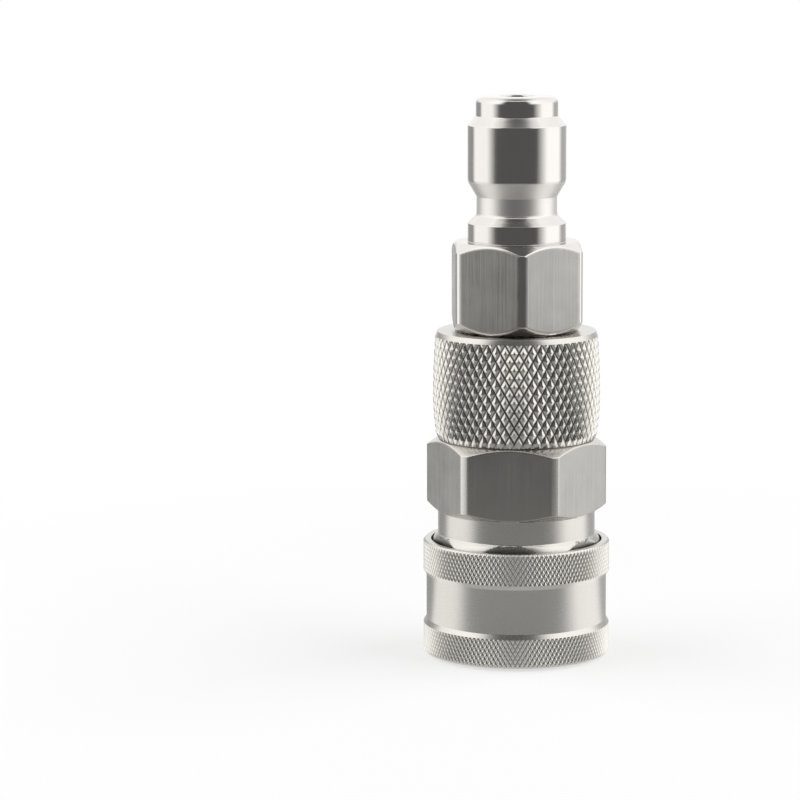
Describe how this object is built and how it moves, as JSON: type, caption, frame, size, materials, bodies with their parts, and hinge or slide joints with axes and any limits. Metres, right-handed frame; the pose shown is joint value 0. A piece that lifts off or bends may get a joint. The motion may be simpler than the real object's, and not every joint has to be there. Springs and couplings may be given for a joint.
{
  "type": "swivel quick connector",
  "caption": "Stainless swivel quick connector: ball-lock socket with release sleeve below, knurled swivel nut, hexagons and a plug nipple that turns on top.",
  "frame": {"origin": "centre of the coupler body's nose face, on which the part stands", "axes": "+Z along the connector's axis, from the socket's mouth to the plug's tip; -Y faces the lower hexagon's front flat"},
  "size_m": [0.0326, 0.0326, 0.0981],
  "materials": {
    "body_steel": "turned stainless steel with milled, vertically brushed hexagon flats",
    "sleeve_steel": "turned stainless steel, satin waist, fine diamond knurl on both bands",
    "nut_steel": "turned stainless steel with a coarse diamond knurl",
    "plug_steel": "finely turned and polished stainless steel",
    "spring_steel": "bright drawn stainless spring steel",
    "ball_steel": "polished stainless steel",
    "acetal": "smooth natural acetal",
    "seal_rubber": "black nitrile rubber",
    "backup_plastic": "white bearing plastic"
  },
  "bodies": {
    "coupler": {"coupler_body": "body_steel", "socket_o_ring": "seal_rubber", "sleeve_snap_ring": "spring_steel", "swivel_nut": "nut_steel", "dust_seal": "seal_rubber", "thrust_washer": "acetal"},
    "swivel": {"plug_nipple": "plug_steel", "support_washer": "plug_steel", "stem_retaining_ring": "spring_steel", "stem_o_ring": "seal_rubber", "stem_backup_ring_lower": "backup_plastic", "stem_backup_ring_upper": "backup_plastic"},
    "spring": {"sleeve_spring": "spring_steel"},
    "sleeve": {"release_sleeve": "sleeve_steel"},
    "ball_1": {"lock_ball_1": "ball_steel"},
    "ball_2": {"lock_ball_2": "ball_steel"},
    "ball_3": {"lock_ball_3": "ball_steel"},
    "ball_4": {"lock_ball_4": "ball_steel"},
    "ball_5": {"lock_ball_5": "ball_steel"},
    "ball_6": {"lock_ball_6": "ball_steel"},
    "ball_7": {"lock_ball_7": "ball_steel"},
    "ball_8": {"lock_ball_8": "ball_steel"}
  },
  "joints": [
    {"name": "swivel_turn", "type": "hinge", "parent": "coupler", "child": "swivel", "pos_m": [0, 0, 0.05], "axis": [0, 0, 1], "continuous": true},
    {"name": "sleeve_turn", "type": "hinge", "parent": "coupler", "child": "spring", "pos_m": [0, 0, 0.01], "axis": [0, 0, 1], "continuous": true},
    {"name": "sleeve_slide", "type": "slide", "parent": "spring", "child": "sleeve", "axis": [0, 0, 1], "range_m": [0, 0.0043], "stiffness_N_per_m": 4000, "springref_m": -0.004, "deforming": ["sleeve_spring"]},
    {"name": "ball_1_out", "type": "slide", "parent": "coupler", "child": "ball_1", "axis": [1, 0, 0], "range_m": [0, 0.0012]},
    {"name": "ball_2_out", "type": "slide", "parent": "coupler", "child": "ball_2", "axis": [0.7071, 0.7071, 0], "range_m": [0, 0.0012]},
    {"name": "ball_3_out", "type": "slide", "parent": "coupler", "child": "ball_3", "axis": [0, 1, 0], "range_m": [0, 0.0012]},
    {"name": "ball_4_out", "type": "slide", "parent": "coupler", "child": "ball_4", "axis": [-0.7071, 0.7071, 0], "range_m": [0, 0.0012]},
    {"name": "ball_5_out", "type": "slide", "parent": "coupler", "child": "ball_5", "axis": [-1, 0, 0], "range_m": [0, 0.0012]},
    {"name": "ball_6_out", "type": "slide", "parent": "coupler", "child": "ball_6", "axis": [-0.7071, -0.7071, 0], "range_m": [0, 0.0012]},
    {"name": "ball_7_out", "type": "slide", "parent": "coupler", "child": "ball_7", "axis": [0, -1, 0], "range_m": [0, 0.0012]},
    {"name": "ball_8_out", "type": "slide", "parent": "coupler", "child": "ball_8", "axis": [0.7071, -0.7071, 0], "range_m": [0, 0.0012]}
  ],
  "couplings": [
    {"joint": "ball_1_out", "follows": "sleeve_slide", "ratio": 0.26795},
    {"joint": "ball_2_out", "follows": "sleeve_slide", "ratio": 0.26795},
    {"joint": "ball_3_out", "follows": "sleeve_slide", "ratio": 0.26795},
    {"joint": "ball_4_out", "follows": "sleeve_slide", "ratio": 0.26795},
    {"joint": "ball_5_out", "follows": "sleeve_slide", "ratio": 0.26795},
    {"joint": "ball_6_out", "follows": "sleeve_slide", "ratio": 0.26795},
    {"joint": "ball_7_out", "follows": "sleeve_slide", "ratio": 0.26795},
    {"joint": "ball_8_out", "follows": "sleeve_slide", "ratio": 0.26795}
  ]
}
